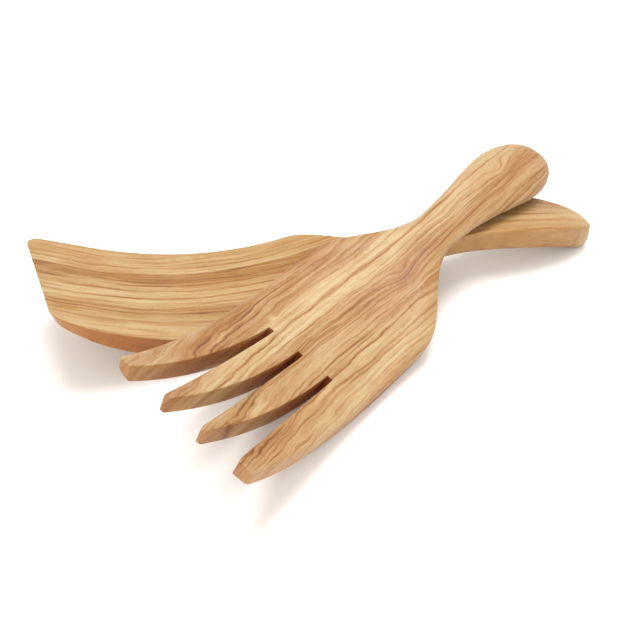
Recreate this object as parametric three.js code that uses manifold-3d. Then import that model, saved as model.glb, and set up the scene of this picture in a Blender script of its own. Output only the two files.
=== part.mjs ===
// A pair of loose salad servers carved from olive wood: a four-tined fork lying
// across a curved spatula. Millimetres, +Z up. The spatula lies along X, tip at -X.
// Each server is drawn along its own length: s runs from the tip (0) to the handle
// end, v is sideways, z is up, and the concave side of the blade faces up.
import * as THREE from "three";
import { mergeVertices } from "three/addons/utils/BufferGeometryUtils.js";
import Module from "manifold-3d";

// ---- driving dimensions (mm) ----
const MIDDLE = 125; // the point of the length that sits on a server's own origin

// Pairs [near, far] are the sides at -Y and +Y; the two outlines differ, as hand work does.
const SPATULA = {
  length: 251.7,
  tipHalf: [29, 29], // half widths of the outline, tip to handle
  bladeHalf: [32.7, 32.7],
  palmHalf: [32.7, 32.7],
  neckHalf: [9.8, 10.2],
  bulbHalf: [14.4, 16.1],
  tipTaper: 25, // length over which the tip narrows, and then over which the blade widens
  palmLength: 85,
  tipCorner: [3.5, 7], // plan radius of the tip's two corners
  shoulderAt: [115, 115], // where the outline starts to narrow, is narrowest, is widest again
  neckAt: [159, 153],
  bulbAt: 218,
  endCap: 35, // length of the rounded handle end, and how square it is in plan
  endPower: 1.85,
  bellyAt: 97, // side profile: lowest point of the blade, highest of the handle
  bellyTop: 11.3,
  bladeRadius: 160,
  crestAt: 193,
  crestTop: 25.8,
  handleRadius: 124,
  bladeThick: 11.3,
  bladeThickTo: 110, // the blade keeps its thickness as far as this
  neckThick: 13.2,
  bulbThickFrom: 170, // where the handle starts to thicken again
  bulbThick: 15,
  tipThin: 4.2, // how much thinner the tip is
  tipLean: 2.5, // how far the lower edge of the tip is set back
  undercut: 1.2, // how far the lower edges of the sides are set in
  topEdge: [0.9, 0.9], // corner of the blade's section, sideways and up
  lowEdge: [[2.5, 2.2], [2.5, 2.2]], // the same below, on each side
  topHandle: [0.1, 0.12], // the same on the handle, as shares of half width and thickness
  lowHandle: [0.9, 0.48],
  endRound: 10, // higher is a squarer handle end in side view
  endTop: 0.12, // share of the end's rounding that is on its upper side
};

const FORK = {
  length: 251.5,
  tipHalf: [32.7, 31.8],
  bladeHalf: [33.4, 31.6],
  palmHalf: [31.6, 33.1],
  neckHalf: [8.5, 11.2],
  bulbHalf: [16, 16.8],
  tipTaper: 25,
  palmLength: 85,
  tipCorner: [1.5, 1.5],
  shoulderAt: [118, 118],
  neckAt: [164.7, 168.6],
  bulbAt: 231.5,
  endCap: 44.3,
  endPower: 3.24,
  bellyAt: 104.7,
  bellyTop: 11,
  bladeRadius: 143.2,
  crestAt: 184.3,
  crestTop: 22.8,
  handleRadius: 290,
  bladeThick: 11.2,
  bladeThickTo: 52,
  neckThick: 9.1,
  bulbThickFrom: 190,
  bulbThick: 14,
  tipThin: 2.9,
  tipLean: -1.3,
  undercut: 0.6,
  topEdge: [3, 2],
  lowEdge: [[1.9, 1.5], [11, 5]],
  topHandle: [0.75, 0.46],
  lowHandle: [0.75, 0.46],
  endRound: 2.6,
  endTop: 0.5,
};

const SLOT_END = 74.3; // closed end of the slots, from the tip
const SLOT_OFFSETS = [15.4, 0, -15.4]; // centre lines at the closed end
const SLOT_FAN = 0.03; // how far the outer slots spread, per mm towards the tip
const SLOT_HALF = 1.37; // half width at the closed end
const SLOT_FLARE = 6.3; // half width gained by the tip, as the tines taper
const SLOT_POWER = 1.8;

const FORK_AT = [7.55, -29.1, 11.41]; // the fork's origin, beside the spatula's
const FORK_YAW = 31.7; // degrees: turn, handle lift and sideways lean of the fork
const FORK_LIFT = 4.21;
const FORK_ROLL = 19.4;
const LAND_DEPTH = 0.25; // depth of the flats that the servers stand on

const STATIONS = 46; // rings along the length, before the rounded end
const END_STATIONS = 12;
const ARC_STEPS = 3;

// ---- shape of one server ----
const clamp01 = (x) => Math.min(Math.max(x, 0), 1);
const ease = (x) => 0.5 - 0.5 * Math.cos(Math.PI * clamp01(x));

/** Half width of the outline at s, on the near side (0) or the far side (1). */
function halfWidth(d, s, side) {
  const [blade, neck] = [d.bladeHalf[side], d.neckHalf[side]];
  const front = blade + (d.palmHalf[side] - blade) * clamp01((s - d.tipTaper) / d.palmLength);
  let h = front - (blade - d.tipHalf[side]) * clamp01(1 - s / d.tipTaper) ** 2;
  h -= (front - neck) * ease((s - d.shoulderAt[side]) / (d.neckAt[side] - d.shoulderAt[side]));
  h += (d.bulbHalf[side] - neck) * ease((s - d.neckAt[side]) / (d.bulbAt - d.neckAt[side]));
  const c = d.tipCorner[side];
  if (s < c) h -= c - Math.sqrt(c * c - (c - s) ** 2);
  const x = clamp01((s - d.length + d.endCap) / d.endCap);
  return Math.max(h * Math.sqrt(1 - x ** d.endPower), 0.4);
}

/** Height of the upper surface: blade arc, rise to the crest, drop to the handle end. */
function topHeight(d, s) {
  if (s < d.bellyAt) return d.bellyTop + (d.bellyAt - s) ** 2 / (2 * d.bladeRadius);
  const rise = ease((s - d.bellyAt) / (d.crestAt - d.bellyAt));
  if (s < d.crestAt) return d.bellyTop + (d.crestTop - d.bellyTop) * rise;
  return d.crestTop - (s - d.crestAt) ** 2 / (2 * d.handleRadius);
}

/** Thickness at s, measured straight down, before the handle end rounds off. */
function thickness(d, s) {
  const toNeck = ease((s - d.bladeThickTo) / (180 - d.bladeThickTo));
  const t = d.bladeThick + (d.neckThick - d.bladeThick) * toNeck;
  const bulb = (d.bulbThick - d.neckThick) * ease((s - d.bulbThickFrom) / (d.bulbAt - d.bulbThickFrom));
  return t + bulb - d.tipThin * clamp01(1 - s / 60) ** 2;
}

/** One quarter of a section: an elliptical corner from angle a0 to a0 + 90 degrees. */
function corner(cy, cz, ry, rz, a0) {
  const points = [];
  for (let i = 0; i <= ARC_STEPS; i++) {
    const a = a0 + (Math.PI / 2) * (i / ARC_STEPS);
    points.push([cy + ry * Math.cos(a), cz + rz * Math.sin(a)]);
  }
  return points;
}

/** Corner radii at s: fixed sizes on the blade, shares of the section on the handle. */
function cornerRadii(edge, share, toHandle, h, t) {
  const mix = (i, of) => edge[i] * (1 - toHandle) + share[i] * of * toHandle;
  return [Math.min(mix(0, h), 0.96 * h), Math.min(mix(1, t), 0.48 * t)];
}

/** Half width, lower setback and corner radii of one side at s. */
function sideOf(d, s, side, t) {
  const h = halfWidth(d, s, side);
  const toHandle = ease((s - 110) / 60);
  const top = cornerRadii(d.topEdge, d.topHandle, toHandle, h, t);
  const low = cornerRadii(d.lowEdge[side], d.lowHandle, toHandle, h, t);
  return { h, cut: Math.min(d.undercut, h * 0.1), top, low };
}

/** How much of the thickness is left at s, as the handle end rounds off in side view. */
function endShare(d, s) {
  const x = clamp01((s - d.length + d.endCap) / d.endCap);
  return 1 - 0.92 * x ** d.endRound * (1 - Math.sqrt(1 - x ** 4));
}

/** Section at s as [x, y, z] points, anticlockwise seen from the handle end. */
function section(d, s) {
  const full = thickness(d, s);
  const t = full * endShare(d, s);
  const top = topHeight(d, s) - (full - t) * d.endTop;
  const low = top - t;
  const [near, far] = [0, 1].map((side) => sideOf(d, s, side, t));
  const ring = [
    ...corner(far.h - far.top[0], top - far.top[1], ...far.top, 0),
    ...corner(near.top[0] - near.h, top - near.top[1], ...near.top, Math.PI / 2),
    ...corner(near.low[0] - near.h + near.cut, low + near.low[1], ...near.low, Math.PI),
    ...corner(far.h - far.low[0] - far.cut, low + far.low[1], ...far.low, 1.5 * Math.PI),
  ];
  const lean = d.tipLean * clamp01(1 - s / 30) ** 2;
  return ring.map(([y, z]) => [s - MIDDLE + (lean * (top - z)) / t, y, z]);
}

/** Where the rings stand: even along the length, closing up round both ends. */
function stations(d) {
  const at = [];
  const tip = Math.max(...d.tipCorner);
  for (let i = 0; i < 4; i++) at.push(tip * (1 - Math.cos((Math.PI / 2) * (i / 3))));
  const from = tip + 2;
  const to = d.length - d.endCap;
  for (let i = 0; i < STATIONS; i++) at.push(from + ((to - from) * i) / STATIONS);
  for (let i = 0; i < END_STATIONS; i++) {
    at.push(to + d.endCap * Math.sin((Math.PI / 2) * (i / (END_STATIONS - 0.6))));
  }
  return at;
}

/** Fan of triangles from the middle of the ring that starts at point first. */
function closeRing(points, index, first, n, flip) {
  const ring = points.slice(first, first + n);
  const middle = [0, 1, 2].map((k) => ring.reduce((sum, p) => sum + p[k], 0) / n);
  const centre = points.push(middle) - 1;
  for (let j = 0; j < n; j++) {
    const [a, b] = [first + j, first + ((j + 1) % n)];
    index.push(centre, ...(flip ? [b, a] : [a, b]));
  }
}

/** Closed loft through a server's sections, capped at both ends. */
function loft(d) {
  const rings = stations(d).map((s) => section(d, s));
  const n = rings[0].length;
  const points = rings.flat();
  const index = [];
  for (let i = 0; i + 1 < rings.length; i++) {
    for (let j = 0; j < n; j++) {
      const [a, b] = [i * n + j, i * n + ((j + 1) % n)];
      index.push(a, b, b + n, a, b + n, a + n);
    }
  }
  const last = points.length - n;
  closeRing(points, index, 0, n, true);
  closeRing(points, index, last, n, false);
  const geometry = new THREE.BufferGeometry();
  geometry.setAttribute("position", new THREE.Float32BufferAttribute(points.flat(), 3));
  geometry.setIndex(index);
  return geometry;
}

/** Plan of one slot: square closed end, sides that curve apart towards the tip. */
function slotCutter(offset) {
  const steps = 12;
  const past = 12; // runs this far past the tip
  const sides = [[], []];
  for (let i = 0; i <= steps; i++) {
    const away = ((SLOT_END + past) * i) / steps;
    const centre = offset + Math.sign(offset) * SLOT_FAN * away;
    const half = SLOT_HALF + SLOT_FLARE * (Math.min(away, SLOT_END + 4) / SLOT_END) ** SLOT_POWER;
    sides[0].push(new THREE.Vector2(SLOT_END - away - MIDDLE, centre - half));
    sides[1].push(new THREE.Vector2(SLOT_END - away - MIDDLE, centre + half));
  }
  const outline = new THREE.Shape([...sides[0], ...sides[1].reverse()]);
  return new THREE.ExtrudeGeometry(outline, { depth: 80, bevelEnabled: false }).translate(0, 0, -15);
}

// ---- solids ----
const wasm = await Module();
wasm.setup();

function toSolid(geometry) {
  const bare = geometry.clone();
  bare.deleteAttribute("normal");
  bare.deleteAttribute("uv");
  const merged = mergeVertices(bare, 1e-4);
  return new wasm.Manifold(
    new wasm.Mesh({
      numProp: 3,
      vertProperties: new Float32Array(merged.attributes.position.array),
      triVerts: new Uint32Array(merged.index.array),
    }),
  );
}

function toGeometry(solid) {
  const mesh = solid.getMesh();
  const geometry = new THREE.BufferGeometry();
  geometry.setAttribute("position", new THREE.BufferAttribute(mesh.vertProperties, mesh.numProp));
  geometry.setIndex(new THREE.BufferAttribute(mesh.triVerts, 1));
  return geometry;
}

/** Where the fork lies: turned, lifted at the handle and leaning over sideways. */
function forkPlacement() {
  const rad = THREE.MathUtils.degToRad;
  return new THREE.Matrix4()
    .makeTranslation(...FORK_AT)
    .multiply(new THREE.Matrix4().makeRotationZ(rad(FORK_YAW)))
    .multiply(new THREE.Matrix4().makeRotationY(-rad(FORK_LIFT)))
    .multiply(new THREE.Matrix4().makeRotationX(rad(FORK_ROLL)));
}

/** Cuts away what is below the table, which leaves the small flats a server stands on. */
function standOnTable(solid, placement) {
  const below = new THREE.BoxGeometry(600, 600, 60).translate(0, 0, -30);
  return solid.subtract(toSolid(below.applyMatrix4(placement.clone().invert())));
}

/** One server as a mesh at its placement, in its own frame. */
function server(name, solid, placement, colour) {
  const material = new THREE.MeshStandardMaterial({ color: colour, roughness: 0.5, metalness: 0 });
  const mesh = new THREE.Mesh(toGeometry(standOnTable(solid, placement)), material);
  mesh.name = name;
  mesh.applyMatrix4(placement);
  return mesh;
}

function slottedFork() {
  let solid = toSolid(loft(FORK));
  for (const offset of SLOT_OFFSETS) solid = solid.subtract(toSolid(slotCutter(offset)));
  return solid;
}

/** Holds the pair so that the origin is on the table under the middle of its box. */
function centred(pair) {
  const middle = new THREE.Box3().setFromObject(pair, true).getCenter(new THREE.Vector3());
  pair.position.set(-middle.x, -middle.y, 0);
  return new THREE.Group().add(pair);
}

const flatOnTable = new THREE.Matrix4().makeTranslation(0, 0, -LAND_DEPTH);
const pair = new THREE.Group();
pair.add(server("salad_spatula", toSolid(loft(SPATULA)), flatOnTable, 0xd9b078));
pair.add(server("salad_fork", slottedFork(), forkPlacement(), 0xd6a878));

export default centred(pair);
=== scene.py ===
import math

import bmesh
import bpy
import numpy as np
from mathutils import Matrix, Vector

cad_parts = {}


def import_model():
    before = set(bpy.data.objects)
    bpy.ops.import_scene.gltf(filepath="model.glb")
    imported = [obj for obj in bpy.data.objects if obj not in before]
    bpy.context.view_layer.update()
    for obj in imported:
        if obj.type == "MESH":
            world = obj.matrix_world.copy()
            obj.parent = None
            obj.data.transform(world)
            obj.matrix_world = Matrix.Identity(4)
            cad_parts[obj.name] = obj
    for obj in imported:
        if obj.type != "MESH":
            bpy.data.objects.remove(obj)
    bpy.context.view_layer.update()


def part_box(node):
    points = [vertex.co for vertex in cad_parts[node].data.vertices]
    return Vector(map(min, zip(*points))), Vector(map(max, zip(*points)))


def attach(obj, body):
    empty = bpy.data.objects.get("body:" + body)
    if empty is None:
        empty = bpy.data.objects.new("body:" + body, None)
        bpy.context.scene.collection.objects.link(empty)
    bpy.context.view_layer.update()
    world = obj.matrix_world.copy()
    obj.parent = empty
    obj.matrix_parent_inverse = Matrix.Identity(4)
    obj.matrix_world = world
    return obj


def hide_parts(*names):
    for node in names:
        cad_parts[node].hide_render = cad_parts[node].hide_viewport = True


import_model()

MM = 0.001
MIDDLE = 125.0  # the point of a server's length that sits on its own origin

# Driving dimensions in millimetres, as in the CAD part. Pairs are (near, far): sides -Y and +Y.
SPATULA = dict(
    length=251.7, tip_half=(29, 29), blade_half=(32.7, 32.7), palm_half=(32.7, 32.7),
    neck_half=(9.8, 10.2), bulb_half=(14.4, 16.1), tip_taper=25, palm_length=85, tip_corner=(3.5, 7),
    shoulder_at=(115, 115), neck_at=(159, 153), bulb_at=218, end_cap=35, end_power=1.85,
    belly_at=97, belly_top=11.3, blade_radius=160, crest_at=193, crest_top=25.8, handle_radius=124,
    blade_thick=11.3, blade_thick_to=110, neck_thick=13.2, bulb_thick_from=170, bulb_thick=15,
    tip_thin=4.2, tip_lean=2.5, undercut=1.2,
    top_edge=((0.8, 0.8), (1.0, 0.9)), low_edge=((2.5, 2.2), (2.5, 2.2)),
    top_handle=(0.1, 0.12), low_handle=(0.9, 0.48), end_round=10, end_top=0.12,
    tip_round=0.8, slots=(), sink=0.25,
)
FORK = dict(
    length=251.5, tip_half=(32.7, 31.8), blade_half=(33.4, 31.6), palm_half=(31.6, 33.1),
    neck_half=(8.5, 11.2), bulb_half=(16, 16.8), tip_taper=25, palm_length=85, tip_corner=(1.5, 1.5),
    shoulder_at=(118, 118), neck_at=(164.7, 168.6), bulb_at=231.5, end_cap=44.3, end_power=3.24,
    belly_at=104.7, belly_top=11, blade_radius=143.2, crest_at=184.3, crest_top=22.8, handle_radius=290,
    blade_thick=11.2, blade_thick_to=52, neck_thick=9.1, bulb_thick_from=190, bulb_thick=14,
    tip_thin=2.9, tip_lean=-1.3, undercut=0.6,
    top_edge=((5.0, 2.2), (3.0, 1.6)), low_edge=((1.9, 1.5), (11.0, 5.0)),
    top_handle=(0.75, 0.46), low_handle=(0.75, 0.46), end_round=2.6, end_top=0.5,
    tip_round=1.0, slots=(-15.4, 0.0, 15.4), sink=0.0,
)
NECK_THICK_AT = 180  # where the thickness has become the neck's
TIP_THINS_FROM = 60  # where the blade starts to thin towards the tip
LEAN_FROM = 30  # where the tip's end starts to lean
HANDLE_FROM, HANDLE_OVER = 110, 60  # where corners turn into the handle's, and over what length
LEAST_HALF = 0.15  # half width left at the very end of the handle
CORNER_LIMITS = (0.96, 0.48)  # most of the half width and of the thickness that a corner takes
END_LOSS = 0.92  # share of the thickness that the handle's end loses
UNDERCUT_LIMIT = 0.1  # most of the half width that the undercut takes

SLOT_END, SLOT_FAN = 74.3, 0.03  # closed end of the slots, and their spread per mm towards the tip
SLOT_HALF, SLOT_FLARE, SLOT_POWER = 1.37, 6.3, 1.8  # half width there, gained by the tip, and how
RIM, RIM_FADE, RIM_LEAST = 0.45, 4, 0.04  # softened rims of the slots, which sharpen at the slots' ends
SLOT_SHADE_FROM = 15  # where the slots start to darken

FORK_AT = (7.55, -29.1, 11.41)  # the fork's origin, beside the spatula's
FORK_YAW, FORK_LIFT, FORK_ROLL = 31.7, 4.21, 19.4  # degrees: turn, handle lift and sideways lean


# ---- the shape of one server, as in the CAD part ----
def clamp01(x):
    return min(max(x, 0.0), 1.0)


def ease(x):
    return 0.5 - 0.5 * math.cos(math.pi * clamp01(x))


def half_width(d, s, side):
    """Half width of the outline at s, on the near side (0) or the far side (1)."""
    blade, neck = d["blade_half"][side], d["neck_half"][side]
    front = blade + (d["palm_half"][side] - blade) * clamp01((s - d["tip_taper"]) / d["palm_length"])
    h = front - (blade - d["tip_half"][side]) * clamp01(1 - s / d["tip_taper"]) ** 2
    shoulder, neck_at = d["shoulder_at"][side], d["neck_at"][side]
    h -= (front - neck) * ease((s - shoulder) / (neck_at - shoulder))
    h += (d["bulb_half"][side] - neck) * ease((s - neck_at) / (d["bulb_at"] - neck_at))
    c = d["tip_corner"][side]
    if s < c:
        h -= c - math.sqrt(c * c - (c - s) ** 2)
    x = clamp01((s - d["length"] + d["end_cap"]) / d["end_cap"])
    return max(h * math.sqrt(max(1 - x ** d["end_power"], 0.0)), LEAST_HALF)


def top_height(d, s):
    """Height of the upper surface: blade arc, rise to the crest, drop to the handle end."""
    if s < d["belly_at"]:
        return d["belly_top"] + (d["belly_at"] - s) ** 2 / (2 * d["blade_radius"])
    if s < d["crest_at"]:
        rise = ease((s - d["belly_at"]) / (d["crest_at"] - d["belly_at"]))
        return d["belly_top"] + (d["crest_top"] - d["belly_top"]) * rise
    return d["crest_top"] - (s - d["crest_at"]) ** 2 / (2 * d["handle_radius"])


def thickness(d, s):
    """Thickness at s, measured straight down, before the handle end rounds off."""
    to_neck = ease((s - d["blade_thick_to"]) / (NECK_THICK_AT - d["blade_thick_to"]))
    t = d["blade_thick"] + (d["neck_thick"] - d["blade_thick"]) * to_neck
    bulb = ease((s - d["bulb_thick_from"]) / (d["bulb_at"] - d["bulb_thick_from"]))
    t += (d["bulb_thick"] - d["neck_thick"]) * bulb
    return t - d["tip_thin"] * clamp01(1 - s / TIP_THINS_FROM) ** 2


def end_share(d, s):
    """How much of the thickness is left at s, as the handle end rounds off in side view."""
    x = clamp01((s - d["length"] + d["end_cap"]) / d["end_cap"])
    return 1 - END_LOSS * x ** d["end_round"] * (1 - math.sqrt(max(1 - x**4, 0)))


def corner(edge, share, to_handle, h, t):
    """Corner of the section sideways and up: a size on the blade, a share of it on the handle."""
    ry = edge[0] * (1 - to_handle) + share[0] * h * to_handle
    rz = edge[1] * (1 - to_handle) + share[1] * t * to_handle
    return min(ry, CORNER_LIMITS[0] * h), min(rz, CORNER_LIMITS[1] * t)


def fall(distance, ry, rz):
    """How far a rounded corner has fallen at a distance in from its edge."""
    x = clamp01(1 - distance / ry)
    return rz * (1 - math.sqrt(1 - x * x))


def slot_edges(offset, s):
    """Near and far edge of a slot at s."""
    away = max(SLOT_END - s, 0.0)
    centre = offset + math.copysign(SLOT_FAN * away, offset) if offset else 0.0
    half = SLOT_HALF + SLOT_FLARE * (away / SLOT_END) ** SLOT_POWER
    return centre - half, centre + half


class Server:
    """Closed mesh of one server, made of grids of points that share their borders."""

    OUTER, INNER, PLAIN, GAP, WALL = 8, 3, 7, 3, 6  # steps across a corner, rim, tine, slot and side
    STEP = 1.25  # between rows along the length
    TINE_ROWS = (0.0, 0.06, 0.22, 0.5, 1.0)  # close rows round the tips, for their small facets
    TIP_ROWS = (0.0, 0.05, 0.2, 0.45, 0.8, 1.3, 2.0, 3.0)
    CLOSE, CLOSE_ROWS = 4, 7  # length before the slots' ends with close rows, and how many
    END_ROWS = 46  # round the handle end
    FACET, INSET = 2.6, 0.55  # over what length a tine's end is drawn in, and how far
    EVEN_OUT = 30  # length over which the palm's columns become evenly spaced
    WELD, SLIVER = 2e-6, 1e-6  # metres: points this close are one, and edges this short are dropped
    SHARP = 38  # degrees between faces that leave a sharp edge

    def __init__(self, d):
        self.d = d
        self.grids = []
        self.sections = {}
        if d["slots"]:
            self.tines()
        self.palm()

    def section(self, s):
        if s not in self.sections:
            d = self.d
            full = thickness(d, s)
            t = full * end_share(d, s)
            top = top_height(d, s) - (full - t) * d["end_top"]
            w = ease((s - HANDLE_FROM) / HANDLE_OVER)
            h = [half_width(d, s, side) for side in (0, 1)]
            self.sections[s] = dict(
                h=h, t=t, top=top, low=top - t,
                upper=[corner(d["top_edge"][i], d["top_handle"], w, h[i], t) for i in (0, 1)],
                lower=[corner(d["low_edge"][i], d["low_handle"], w, h[i], t) for i in (0, 1)],
                cut=[min(d["undercut"], h[i] * UNDERCUT_LIMIT) for i in (0, 1)],
                rim=RIM * min(max((SLOT_END - s) / RIM_FADE, RIM_LEAST), 1),
            )
        return self.sections[s]

    def rims(self, s, v, r):
        """Fall of the softened rims of the slots and of the tip."""
        depth = 0.0
        if s < SLOT_END:
            for offset in self.d["slots"]:
                near, far = slot_edges(offset, s)
                depth = max(depth, fall(max(v - far, near - v, 0), r, r))
        return depth + fall(s, self.d["tip_round"], self.d["tip_round"])

    def point(self, s, v, level):
        """Point of the surface: level 1 is the upper side, 0 the lower, and between them the wall."""
        c = self.section(s)
        i = 1 if v > 0 else 0
        h = c["h"][i]
        rim = self.rims(s, v, c["rim"])
        up = c["top"] - fall(h - abs(v), *c["upper"][i]) - rim
        down = c["low"] + fall(h - abs(v), *c["lower"][i]) + rim
        z = down + (up - down) * level
        side = v * (1 - c["cut"][i] / h * (1 - level))
        lean = self.d["tip_lean"] * max(1 - s / LEAN_FROM, 0) ** 2
        return (s - MIDDLE + lean * (c["top"] - z) / c["t"], side, z)

    def columns(self, s):
        """Sideways places of the points at s, strip by strip, and those across the slots."""
        c = self.section(s)
        bend = 1 - np.cos(np.linspace(0, math.pi / 2, self.OUTER + 1))
        near_in = -c["h"][0] + c["upper"][0][0] * bend
        far_in = (c["h"][1] - c["upper"][1][0] * bend)[::-1]
        edges = [slot_edges(o, min(s, SLOT_END)) for o in self.d["slots"]]
        if not edges:
            middle = np.linspace(near_in[-1], far_in[0], 4 * self.PLAIN)[1:-1]
            return [[*near_in, *middle, *far_in]], []
        rim = c["rim"] * (1 - np.cos(np.linspace(0, math.pi / 2, self.INNER + 1)))
        strips = []
        for k in range(4):
            left = near_in if k == 0 else edges[k - 1][1] + rim
            right = far_in if k == 3 else (edges[k][0] - rim)[::-1]
            inner = np.linspace(left[-1], right[0], self.PLAIN + 1)[1:-1]
            strips.append([*left, *inner, *right])
        gaps = [list(np.linspace(a, b, self.GAP + 1)[1:-1]) for a, b in edges]
        return strips, gaps

    def grid(self, rows, shade=None):
        """Keeps a grid of points; shade is how deep in a slot each row lies, 0 to 1."""
        points = np.array(rows, dtype=float)
        self.grids.append((points, shade if shade is not None else [0.0] * len(points)))

    def wall(self, line, in_slot=False):
        """Side wall along a line of (s, v) points."""
        rows = [[self.point(s, v, i / self.WALL) for i in range(self.WALL + 1)] for s, v in line]
        shades = [clamp01((s - SLOT_SHADE_FROM) / (SLOT_END - SLOT_SHADE_FROM)) for s, _ in line]
        self.grid(rows, shades if in_slot else None)

    def tines(self):
        """Upper side, lower side and walls of each tine, and the closed ends of the slots."""
        close_from = SLOT_END - self.CLOSE
        stations = [*self.TINE_ROWS, *np.arange(2.0, close_from - 0.1, self.STEP)]
        stations += list(np.linspace(close_from, SLOT_END, self.CLOSE_ROWS))
        strips = [self.columns(s)[0] for s in stations]
        for k in range(4):
            lines = [(s, self.drawn_in(s, strip[k])) for s, strip in zip(stations, strips)]
            for level in (0, 1):
                self.grid([[self.point(s, v, level) for v in vs] for s, vs in lines])
            self.wall([(s, vs[0]) for s, vs in lines], in_slot=k > 0)
            self.wall([(s, vs[-1]) for s, vs in lines], in_slot=k < 3)
            self.wall([(lines[0][0], v) for v in lines[0][1]])
        strips, gaps = self.columns(SLOT_END)
        for k, gap in enumerate(gaps):
            self.wall([(SLOT_END, v) for v in [strips[k][-1], *gap, strips[k + 1][0]]], in_slot=True)

    def drawn_in(self, s, vs):
        """Sides of a tine drawn in a little at its very end."""
        if s >= self.FACET:
            return vs
        inset = self.INSET * (1 - s / self.FACET)
        middle, half = (vs[0] + vs[-1]) / 2, (vs[-1] - vs[0]) / 2
        return [middle + (v - middle) * (half - inset) / half for v in vs]

    def palm(self):
        """Everything behind the tines, or the whole of a server without slots."""
        d = self.d
        slotted = bool(d["slots"])
        to = d["length"] - d["end_cap"]
        stations = [SLOT_END, SLOT_END + 0.4, SLOT_END + 1, SLOT_END + 2]
        if not slotted:
            stations = list(self.TIP_ROWS)
        stations += list(np.arange(stations[-1] + self.STEP, to, self.STEP))
        stations += list(to + d["end_cap"] * np.sin(np.linspace(0, math.pi / 2, self.END_ROWS)))
        lines = [(s, self.across(s)) for s in stations]
        for level in (0, 1):
            self.grid([[self.point(s, v, level) for v in vs] for s, vs in lines])
        self.wall([(s, vs[0]) for s, vs in lines])
        self.wall([(s, vs[-1]) for s, vs in lines])
        self.wall([(lines[-1][0], v) for v in lines[-1][1]])
        if not slotted:
            self.wall([(lines[0][0], v) for v in lines[0][1]])

    @staticmethod
    def joined(strips, gaps):
        """One row across the palm from the strips of the tines and what lies between them."""
        row = list(strips[0])
        for gap, strip in zip(gaps, strips[1:]):
            row += [*gap, *strip]
        return row

    def across(self, s):
        """One row of the palm: spaced as at the slots' end, and evening out beyond it."""
        row = self.joined(*self.columns(s))
        if not self.d["slots"]:
            return row
        first = self.joined(*self.columns(SLOT_END))
        n = self.OUTER
        inner0 = np.array(first[n:-n])
        share0 = (inner0 - inner0[0]) / (inner0[-1] - inner0[0])
        w = ease((s - SLOT_END) / self.EVEN_OUT)
        share = share0 * (1 - w) + np.linspace(0, 1, len(share0)) * w
        low, high = row[n], row[-n - 1]
        return row[:n] + list(low + (high - low) * share) + row[-n:]

    def mesh(self, name, place):
        """One mesh in the row frame: grids joined along their borders, nothing below the table."""
        mesh = bpy.data.meshes.new(name)
        bm = bmesh.new()
        layer = bm.verts.layers.float.new("slot_depth")
        for grid, shade in self.grids:
            verts = []
            for row, depth in zip(grid, shade):
                verts.append([bm.verts.new(p * MM) for p in row])
                for v in verts[-1]:
                    v[layer] = depth
            for a, b in zip(verts, verts[1:]):
                for j in range(len(a) - 1):
                    bm.faces.new((a[j], b[j], b[j + 1], a[j + 1]))
        bmesh.ops.remove_doubles(bm, verts=bm.verts, dist=self.WELD)
        bmesh.ops.dissolve_degenerate(bm, edges=bm.edges, dist=self.SLIVER)
        bmesh.ops.recalc_face_normals(bm, faces=bm.faces)
        bmesh.ops.transform(bm, matrix=place, verts=bm.verts)
        for v in bm.verts:
            v.co.z = max(v.co.z, 0.0)
        bm.to_mesh(mesh)
        bm.free()
        mesh.polygons.foreach_set("use_smooth", [True] * len(mesh.polygons))
        mesh.set_sharp_from_angle(angle=math.radians(self.SHARP))
        return mesh


# ---- placing the two servers ----
low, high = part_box("salad_spatula")
SHIFT = Vector((low[0] + MIDDLE * MM, (low[1] + high[1]) / 2, 0))


def fork_matrix():
    turn = Matrix.Rotation(math.radians(FORK_YAW), 4, "Z")
    lift = Matrix.Rotation(-math.radians(FORK_LIFT), 4, "Y")
    roll = Matrix.Rotation(math.radians(FORK_ROLL), 4, "X")
    return Matrix.Translation(SHIFT + Vector(FORK_AT) * MM) @ turn @ lift @ roll


def spatula_matrix():
    return Matrix.Translation(SHIFT + Vector((0, 0, -SPATULA["sink"] * MM)))


def piece(name, d, place, body, node, material):
    """One server as an object that rides its body and stands in for its CAD node."""
    obj = bpy.data.objects.new(name, Server(d).mesh(name, place))
    bpy.context.scene.collection.objects.link(obj)
    obj.data.materials.append(material)
    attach(obj, body)
    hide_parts(node)
    return obj


# ---- materials ----
LIGHT = 2.12  # how much light an open upper side gets
SHEEN = (0.056, 0.057, 0.07)  # how much the gloss adds to each colour
DARKEST = 0.01  # least that is left of a colour once the gloss is taken off

# The wood's noises: cell size in mm along the grain, across it and through the plank, seed
# offset, detail and roughness. The waves bend the growth layers, from the slowest to the quickest.
WAVES = [((90, 20, 24), 0), ((26, 8, 10), 3), ((10, 3, 4), 7), ((4, 1.2, 2), 9)]
NOISES = dict(
    streak=((75, 2.1, 40), 11, 2.0, 0.6),
    flame=((24, 2.4, 12), 13, 2.0, 0.6),
    fine=((26, 0.7, 8), 17, 2.0, 0.6),
    presence=((26, 2.4, 20), 23, 2.0, 0.6),
    clear=((30, 3.4, 20), 29, 2.0, 0.5),
    speck=((3.2, 0.8, 1.2), 31, 2.0, 0.7),
    drift=((70, 18, 20), 41, 1.0, 0.5),
    pore=((4.5, 0.28, 0.5), 51, 1.0, 0.5),
    fibre=((22, 0.32, 0.5), 61, 1.0, 0.5),
    patch=((16, 7, 9), 71, 2.0, 0.5),
)
HEART = 11  # height of the surface that the growth layers are drawn on, at no tilt


def srgb(*rgb):
    """Linear colour of an 8-bit display colour."""
    def lin(c):
        c /= 255
        return c / 12.92 if c <= 0.04045 else ((c + 0.055) / 1.055) ** 2.4

    return tuple(lin(c) for c in rgb) + (1.0,)


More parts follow.
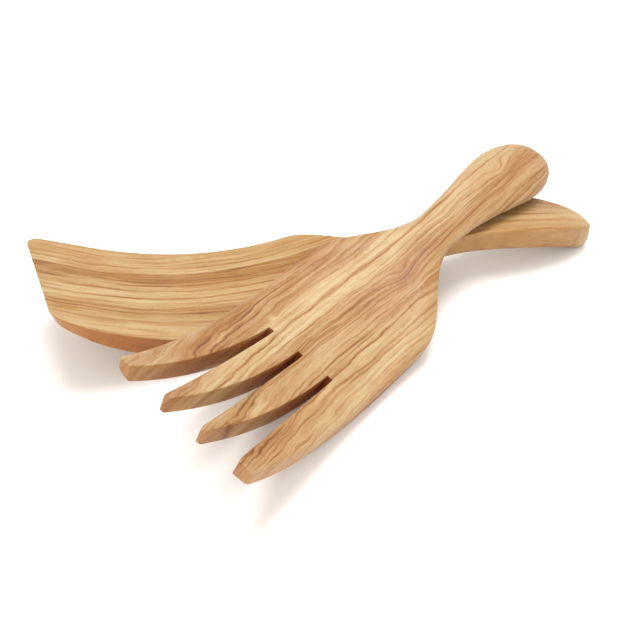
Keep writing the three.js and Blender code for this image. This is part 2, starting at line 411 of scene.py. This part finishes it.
def seen(*rgb):
    """Colour that looks like this one in the studio's light."""
    return tuple(max(c - gloss, DARKEST) / LIGHT for c, gloss in zip(srgb(*rgb), SHEEN)) + (1.0,)


class Graph:
    """Short calls for building one material's nodes."""

    def __init__(self, name):
        self.mat = bpy.data.materials.new(name)
        self.mat.use_nodes = True
        self.tree = self.mat.node_tree
        self.bsdf = self.tree.nodes["Principled BSDF"]

    def put(self, socket, value):
        if isinstance(value, bpy.types.NodeSocket):
            self.tree.links.new(value, socket)
        else:
            socket.default_value = value

    def node(self, kind, inputs, **settings):
        node = self.tree.nodes.new(kind)
        for key, value in settings.items():
            setattr(node, key, value)
        for key, value in inputs.items():
            self.put(node.inputs[key], value)
        return node

    def math(self, operation, a, b=0.0, c=0.0, clamp=False):
        inputs = {0: a, 1: b, 2: c}
        return self.node("ShaderNodeMath", inputs, operation=operation, use_clamp=clamp).outputs[0]

    def add(self, *values):
        total = values[0]
        for value in values[1:]:
            total = self.math("ADD", total, value)
        return total

    def times(self, a, b):
        return self.math("MULTIPLY", a, b)

    def scaled(self, a, factor, offset):
        return self.math("MULTIPLY_ADD", a, factor, offset)

    def xyz(self, x, y, z):
        return self.node("ShaderNodeCombineXYZ", {0: x, 1: y, 2: z}).outputs[0]

    def noise(self, vector, detail=0.0, rough=0.5):
        inputs = {"Vector": vector, "Scale": 1.0, "Detail": detail, "Roughness": rough}
        return self.node("ShaderNodeTexNoise", inputs).outputs[0]

    def cells(self, at, sizes, seed):
        """Coordinates counted in cells of the given sizes in millimetres."""
        return self.xyz(*[self.scaled(c, 1 / size, seed) for c, size in zip(at, sizes)])

    def wood(self, name, at, seed):
        """One of the wood's noises, 0 to 1."""
        sizes, offset, detail, rough = NOISES[name]
        return self.noise(self.cells(at, sizes, seed + offset), detail, rough)

    def wander(self, at, sizes, amount, seed):
        """Smooth noise about zero, in millimetres."""
        return self.scaled(self.noise(self.cells(at, sizes, seed)), amount, -0.5 * amount)

    def step(self, value, start, end, low=0.0, high=1.0):
        """Smooth step from low to high as value goes from start to end."""
        inputs = {"Value": value, "From Min": start, "From Max": end, "To Min": low, "To Max": high}
        return self.node("ShaderNodeMapRange", inputs, interpolation_type="SMOOTHSTEP").outputs[0]

    def centred(self, value, amount):
        """A noise made to swing about zero."""
        return self.scaled(value, amount, -amount / 2)

    def ramp(self, value, stops):
        node = self.node("ShaderNodeValToRGB", {0: value})
        elements = node.color_ramp.elements
        elements[0].position, elements[0].color = stops[0]
        elements[1].position, elements[1].color = stops[-1]
        for place, colour in stops[1:-1]:
            elements.new(place).color = colour
        return node.outputs[0]

    def mix(self, factor, a, b, blend="MIX"):
        node = self.node("ShaderNodeMix", {}, data_type="RGBA", blend_type=blend)
        for key, value in {0: factor, 6: a, 7: b}.items():
            self.put(node.inputs[key], value)
        return node.outputs[2]

    def spot(self, s, v, centre, size):
        """1 in the middle of an oval patch, falling smoothly to 0 at its edge."""
        ds = self.scaled(s, 1 / size[0], -centre[0] / size[0])
        dv = self.scaled(v, 1 / size[1], -centre[1] / size[1])
        reach = self.node("ShaderNodeVectorMath", {0: self.xyz(ds, dv, 0.0)}, operation="LENGTH")
        return self.step(reach.outputs[1], 1.0, 0.0)


def wood_space(g, place):
    """Coordinates along, across and up a server in mm, and how far a face looks sideways: 1 on
    the sawn sides and ends, 0 on the planed faces."""
    where = g.node("ShaderNodeTexCoord", {}).outputs["Object"]
    inputs = {"Vector": where, "Location": place.translation, "Rotation": place.to_euler("XYZ"),
              "Scale": (MM, MM, MM)}
    local = g.node("ShaderNodeMapping", inputs, vector_type="TEXTURE")
    x, v, z = g.node("ShaderNodeSeparateXYZ", {0: local.outputs[0]}).outputs
    normal = g.node("ShaderNodeNewGeometry", {}).outputs["Normal"]
    up = place.to_3x3() @ Vector((0, 0, 1))
    facing = g.node("ShaderNodeVectorMath", {0: normal, 1: up}, operation="DOT_PRODUCT").outputs["Value"]
    sawn = g.step(g.math("ABSOLUTE", facing), 0.6, 0.25)
    return (g.math("ADD", x, MIDDLE), v, z), sawn


def growth_layers(g, at, look, knots):
    """Which layer a point lies in: tilted planes through the wood, bent by waves and by knots."""
    tilt = look["tilt"]
    waves = [g.wander(at, sizes, amount, look["seed"] + offset)
             for (sizes, offset), amount in zip(WAVES, look["waves"])]
    u = g.add(at[1], g.scaled(at[2], tilt, -tilt * HEART), *waves)
    for mask, bend, _, _ in knots:
        u = g.math("MULTIPLY_ADD", mask, bend, u)
    return u


def growth_lines(g, u, layered, look):
    """Dark lines along the layers: each has a crisp core and fades out on one side."""
    total = None
    for at_u, width, depth in look["lines"]:
        away = g.math("SUBTRACT", u, at_u)
        core = g.step(g.math("ABSOLUTE", away), width, 0.1, 0.0, depth)
        beyond = g.step(away, -0.3 * width, 0.3 * width, 0.0, depth * 0.5)
        fade = g.times(g.step(away, 2.8 * width, 0.0), beyond)
        both = g.math("MAXIMUM", core, fade)
        total = both if total is None else g.math("MAXIMUM", total, both)
    presence = g.wood("presence", layered, look["seed"])
    return g.times(total, g.step(presence, 0.36, 0.58, 0.35, 1.0))


def growth_rings(g, u, layered, look):
    """Faint rings between the lines, clear in some places and hardly there in others."""
    sway = g.wander(layered, (60, 5, 20), 1.6, look["seed"] + 19)
    ring = g.math("FRACT", g.add(g.scaled(u, 1 / look["ring"], 40.0), sway))
    edge = g.math("MAXIMUM", g.step(ring, 0.4, 0.0), g.step(ring, 0.86, 1.0))
    return g.times(edge, g.step(g.wood("clear", layered, look["seed"]), 0.38, 0.6, 0.03, 0.26))


def curl(g, s, v, look):
    """Curly figure: short ripples across the fibres inside an oval patch; in the tone they also stand as a
    faint painted highlight shimmer.
    """
    centre, size, pitch = look["curl"]
    bent = g.add(s, g.times(v, 0.5), g.wander((s, v, v), (8, 5, 50), 5.0, look["seed"] + 81))
    wave = g.math("SINE", g.times(bent, 2 * math.pi / pitch))
    return g.times(wave, g.spot(s, v, centre, size))


def wood_tone(g, at, u, sawn, look, knots, marks):
    """How dark the wood is, from 0 to 1, out of bands, streaks, marks, knots and flecks."""
    s, v, z = at
    seed, span = look["seed"], look["span"]
    lines, rings, ripple = marks
    layered = (s, u, z)
    grey = [((b + span) / (2 * span), (t, t, t, 1)) for b, t in look["bands"]]
    bands = g.ramp(g.scaled(u, 1 / (2 * span), 0.5), grey)
    streak = g.wood("streak", layered, seed)
    streaks = g.scaled(streak, look["streaks"], look["shade"] - look["streaks"] / 2)
    flames = g.centred(g.wood("flame", layered, seed), look["flames"])
    fine = g.centred(g.wood("fine", layered, seed), 0.65)
    calm = g.scaled(sawn, -0.6, 1.0)
    specks = g.step(g.wood("speck", at, seed), 0.6, 0.7)
    flecks = [g.times(g.times(g.spot(s, v, centre, size), specks), depth)
              for centre, size, depth in look["flecks"]]
    # the curl's ripples in the tone are partly grain figure and partly a painted highlight shimmer
    tone = g.add(bands, streaks, flames, fine, g.times(lines, calm), g.times(rings, calm),
                 g.times(ripple, 0.03), *[g.times(mask, dark) for mask, _, dark, _ in knots], *flecks)
    return g.math("MINIMUM", tone, 1.0)


def wood_colour(g, at, tone, look, knots):
    """The tone as a colour, plainer on the handle, with a slow drift and red round the knots."""
    colour = g.ramp(tone, [(place, seen(*rgb)) for place, rgb in look["colours"]])
    colour = g.mix(g.step(at[0], 135, 190, 0.0, 0.25), colour, seen(*look["handle"]))
    drift = g.step(g.wood("drift", at, look["seed"]), 0.35, 0.68)
    colour = g.mix(drift, colour, srgb(*look["drift"]), "MULTIPLY")
    red = g.math("MINIMUM", g.add(*[g.times(mask, amount) for mask, _, _, amount in knots]), 1.0)
    return g.mix(red, colour, srgb(240, 192, 158), "MULTIPLY")


def olive_wood(name, place, look):
    """Olive wood: wavy growth layers cut by the carved surface, fibres, pores and a satin gloss."""
    g = Graph(name)
    at, sawn = wood_space(g, place)
    s, v, z = at
    knots = [(g.spot(s, v, centre, size), *effects) for centre, size, *effects in look["knots"]]
    u = growth_layers(g, at, look, knots)
    layered = (s, u, z)
    lines = growth_lines(g, u, layered, look)
    ripple = curl(g, s, v, look)
    marks = (lines, growth_rings(g, u, layered, look), ripple)
    colour = wood_colour(g, at, wood_tone(g, at, u, sawn, look, knots, marks), look, knots)

    # fibres and pores
    fibre = g.wood("fibre", at, look["seed"])
    grain = g.ramp(fibre, [(0.25, (0.66, 0.62, 0.56, 1)), (0.7, (1, 1, 1, 1))])
    colour = g.mix(0.3, colour, grain, "MULTIPLY")
    pores = g.step(g.wood("pore", at, look["seed"]), 0.63, 0.74)
    colour = g.mix(g.times(pores, 0.28), colour, seen(130, 84, 48))

    # painted shade: faces that look sideways are darkened, the blade's most and the handle's only a little
    side_shade = g.times(sawn, g.step(s, 150, 100, 0.15, 1.0))
    colour = g.mix(side_shade, colour, srgb(*look["sides"]), "MULTIPLY")
    # painted shade: a red-brown darkening deep in the slots, strongest at their closed ends, where shade
    # falls
    depth = g.node("ShaderNodeAttribute", {}, attribute_name="slot_depth").outputs["Fac"]
    slot_shade = g.step(depth, 0.3, 1.0, 0.0, 0.6)
    colour = g.mix(slot_shade, colour, srgb(250, 122, 50), "MULTIPLY")

    # edges rubbed smooth and a little lighter by use
    wear = g.step(g.node("ShaderNodeNewGeometry", {}).outputs["Pointiness"], 0.53, 0.6)
    colour = g.mix(g.times(wear, 0.3), colour, seen(240, 208, 162))
    g.put(g.bsdf.inputs["Base Color"], colour)

    # satin surface: gloss varies in patches, pores and lines are slightly sunk
    patches = g.wood("patch", at, look["seed"])
    rough = g.add(g.step(patches, 0.3, 0.7, 0.40, 0.56), g.times(pores, 0.12), g.times(slot_shade, 0.2),
                  g.times(wear, -0.06))
    g.put(g.bsdf.inputs["Roughness"], rough)
    g.bsdf.inputs["Specular IOR Level"].default_value = 0.38
    height = g.add(g.times(fibre, 0.5), g.times(pores, -0.8), g.times(lines, -0.25),
                   g.times(patches, 0.6), g.times(ripple, 0.35))
    bump = g.node("ShaderNodeBump", {"Height": height, "Strength": 0.5, "Distance": 0.00022})
    g.put(g.bsdf.inputs["Normal"], bump.outputs[0])
    return g.mat


# How each server's wood looks. s runs from the tip, and layers are counted in mm across the blade.
# tilt and waves bend the layers; bands are (layer, tone), 0 pale to 1 dark; lines are (layer, half
# width, depth); knots are (centre, size, bend, dark, red); flecks are (centre, size, depth); ring is
# the width of a growth ring, and curl is (centre, size, pitch) of a rippled patch. sides is the colour of
# the painted shade multiplied onto faces that look sideways.
FORK_LOOK = dict(
    seed=2.0, tilt=0.42, waves=(6.0, 3.0, 1.3, 0.4), span=60, shade=0.04, ring=2.7,
    bands=[(-60, 0.35), (-34, 0.3), (-30, 0.22), (-24, 0.16), (-21, 0.3), (-18.5, 0.28), (-16, 0.3),
           (-12, 0.46), (-9, 0.42), (-6, 0.32), (-3.5, 0.32), (-1, 0.48), (2, 0.46), (4.5, 0.3),
           (7, 0.28), (9, 0.1), (12, 0.08), (13.6, 0.34), (15, 0.12), (19, 0.08), (20.5, 0.3),
           (22.5, 0.48), (25, 0.42), (27, 0.34), (31, 0.46), (38, 0.4), (60, 0.4)],
    lines=[(-19.3, 0.5, 0.35), (-15.2, 0.45, 0.4), (-12.9, 0.5, 0.45), (-10.6, 0.4, 0.35), (-8.4, 0.4, 0.25),
           (-1.2, 0.5, 0.4), (1.3, 0.5, 0.42), (4.2, 0.4, 0.3), (7.1, 0.5, 0.42), (10.4, 0.4, 0.22),
           (13.7, 0.55, 0.45), (17.2, 0.4, 0.28), (23.6, 0.4, 0.3), (26.3, 0.5, 0.4), (28.4, 0.45, 0.4),
           (30.4, 0.45, 0.35)],
    knots=[((138, -5), (12, 8), 2.6, 0.15, 0.1), ((79, 20), (4, 2.4), -1.2, -0.2, 0.0),
           ((216, 3), (13, 6), 3.2, -0.05, 0.15), ((13, -12), (3, 4), 0.0, 0.35, 0.3)],
    flecks=[((170, -8), (40, 6), 0.25), ((138, -4), (14, 8), 0.4)],
    streaks=0.65, flames=0.75, drift=(248, 232, 216), sides=(252, 232, 206), handle=(214, 169, 123),
    colours=[(0.0, (246, 221, 176)), (0.2, (238, 205, 157)), (0.45, (221, 178, 132)), (0.7, (201, 152, 101)),
             (0.9, (180, 127, 76)), (1.0, (160, 106, 58))],
    curl=((100, -27), (14, 5), 3.6),
)
SPATULA_LOOK = dict(
    seed=14.0, tilt=0.2, waves=(4.5, 2.0, 0.9, 0.35), span=60, shade=0.04, ring=3.1,
    bands=[(-60, 0.35), (-36, 0.5), (-31, 0.35), (-28, 0.16), (-22, 0.14), (-20, 0.36), (-15, 0.34),
           (-12, 0.5), (-9, 0.34), (-7, 0.2), (-3.5, 0.15), (-1.5, 0.3), (0, 0.1), (2.5, 0.12),
           (4, 0.34), (7, 0.34), (9, 0.55), (12, 0.6), (15, 0.6), (16.8, 0.5), (18, 0.14), (20.5, 0.16),
           (22.5, 0.36), (27, 0.3), (34, 0.28), (45, 0.35), (60, 0.4)],
    lines=[(-18.6, 0.4, 0.25), (-12.4, 0.5, 0.4), (-10.2, 0.5, 0.42), (-7.0, 0.4, 0.28), (-2.0, 0.5, 0.5),
           (3.4, 0.5, 0.5), (7.6, 0.5, 0.35), (10.6, 0.5, 0.35), (13.4, 0.5, 0.42), (16.4, 0.55, 0.4),
           (19.2, 0.35, 0.25), (22.0, 0.5, 0.45), (28.0, 0.4, 0.12)],
    knots=[((24, 15), (16, 6), 1.5, 0.12, 0.25), ((215, -2), (30, 9), 2.0, -0.02, 0.0)],
    flecks=[((26, 14), (20, 7), 0.5), ((14, 5), (16, 4), 0.45)],
    streaks=0.55, flames=0.55, drift=(252, 240, 224), sides=(238, 188, 140), handle=(218, 180, 133),
    colours=[(0.0, (244, 217, 168)), (0.2, (237, 202, 150)), (0.45, (221, 178, 124)), (0.7, (205, 154, 97)),
             (0.9, (186, 130, 70)), (1.0, (166, 111, 54))],
    curl=((70, 27), (40, 6), 5.0),
)

piece("olive_spatula", SPATULA, spatula_matrix(), "spatula", "salad_spatula",
      olive_wood("olive_wood_gold", spatula_matrix(), SPATULA_LOOK))
piece("olive_fork", FORK, fork_matrix(), "fork", "salad_fork",
      olive_wood("olive_wood_tan", fork_matrix(), FORK_LOOK))


# ---- stage, light and camera ----
LIT = Vector((0, 0, 0.01))  # what the lights are aimed at


def floor(half=4.0):
    """Plain pale floor, in metres."""
    mesh = bpy.data.meshes.new("floor")
    corners = [(-half, -half, 0), (half, -half, 0), (half, half, 0), (-half, half, 0)]
    mesh.from_pydata(corners, [], [(0, 1, 2, 3)])
    plane = bpy.data.objects.new("floor", mesh)
    bpy.context.scene.collection.objects.link(plane)
    mat = bpy.data.materials.new("floor")
    mat.use_nodes = True
    bsdf = mat.node_tree.nodes["Principled BSDF"]
    bsdf.inputs["Base Color"].default_value = (0.86, 0.847, 0.838, 1)
    bsdf.inputs["Roughness"].default_value = 0.9
    bsdf.inputs["Specular IOR Level"].default_value = 0.1
    mesh.materials.append(mat)


def area(name, location, size, power):
    """Round light of a size in metres and a power in watts, aimed at the servers."""
    light = bpy.data.lights.new(name, "AREA")
    light.shape = "DISK"
    light.size = size
    light.energy = power
    obj = bpy.data.objects.new(name, light)
    obj.location = location
    obj.rotation_mode = "QUATERNION"
    obj.rotation_quaternion = (LIT - Vector(location)).to_track_quat("-Z", "Y")
    bpy.context.scene.collection.objects.link(obj)


def world(strength):
    """Soft light from all round, a little warm."""
    w = bpy.data.worlds.new("studio")
    bpy.context.scene.world = w
    w.use_nodes = True
    w.node_tree.nodes["Background"].inputs[0].default_value = (1.0, 0.96, 0.93, 1)
    w.node_tree.nodes["Background"].inputs[1].default_value = strength


def camera():
    """The camera: turned and raised from the front by angles in degrees, at a distance in metres."""
    azimuth, elevation, distance = math.radians(-19.23), math.radians(37.09), 0.5976
    aim = SHIFT + Vector((-0.01118, -0.01226, 0.0))
    back = Vector((math.sin(azimuth) * math.cos(elevation), -math.cos(azimuth) * math.cos(elevation),
                   math.sin(elevation)))
    data = bpy.data.cameras.new("camera")
    data.sensor_width = 36
    data.lens = 78.99
    data.clip_start, data.clip_end = 0.01, 20
    obj = bpy.data.objects.new("camera", data)
    obj.location = aim + back * distance
    obj.rotation_mode = "QUATERNION"
    obj.rotation_quaternion = (-back).to_track_quat("-Z", "Y")
    bpy.context.scene.collection.objects.link(obj)
    bpy.context.scene.camera = obj


floor()
world(1.15)
area("overhead", (0.06, 0.15, 1.7), 1.0, 25)
area("key", (0.5, 0.55, 0.9), 0.4, 2)
area("fill", (-0.4, -0.9, 0.5), 0.8, 4.3)
camera()
bpy.context.scene.view_settings.view_transform = "Standard"
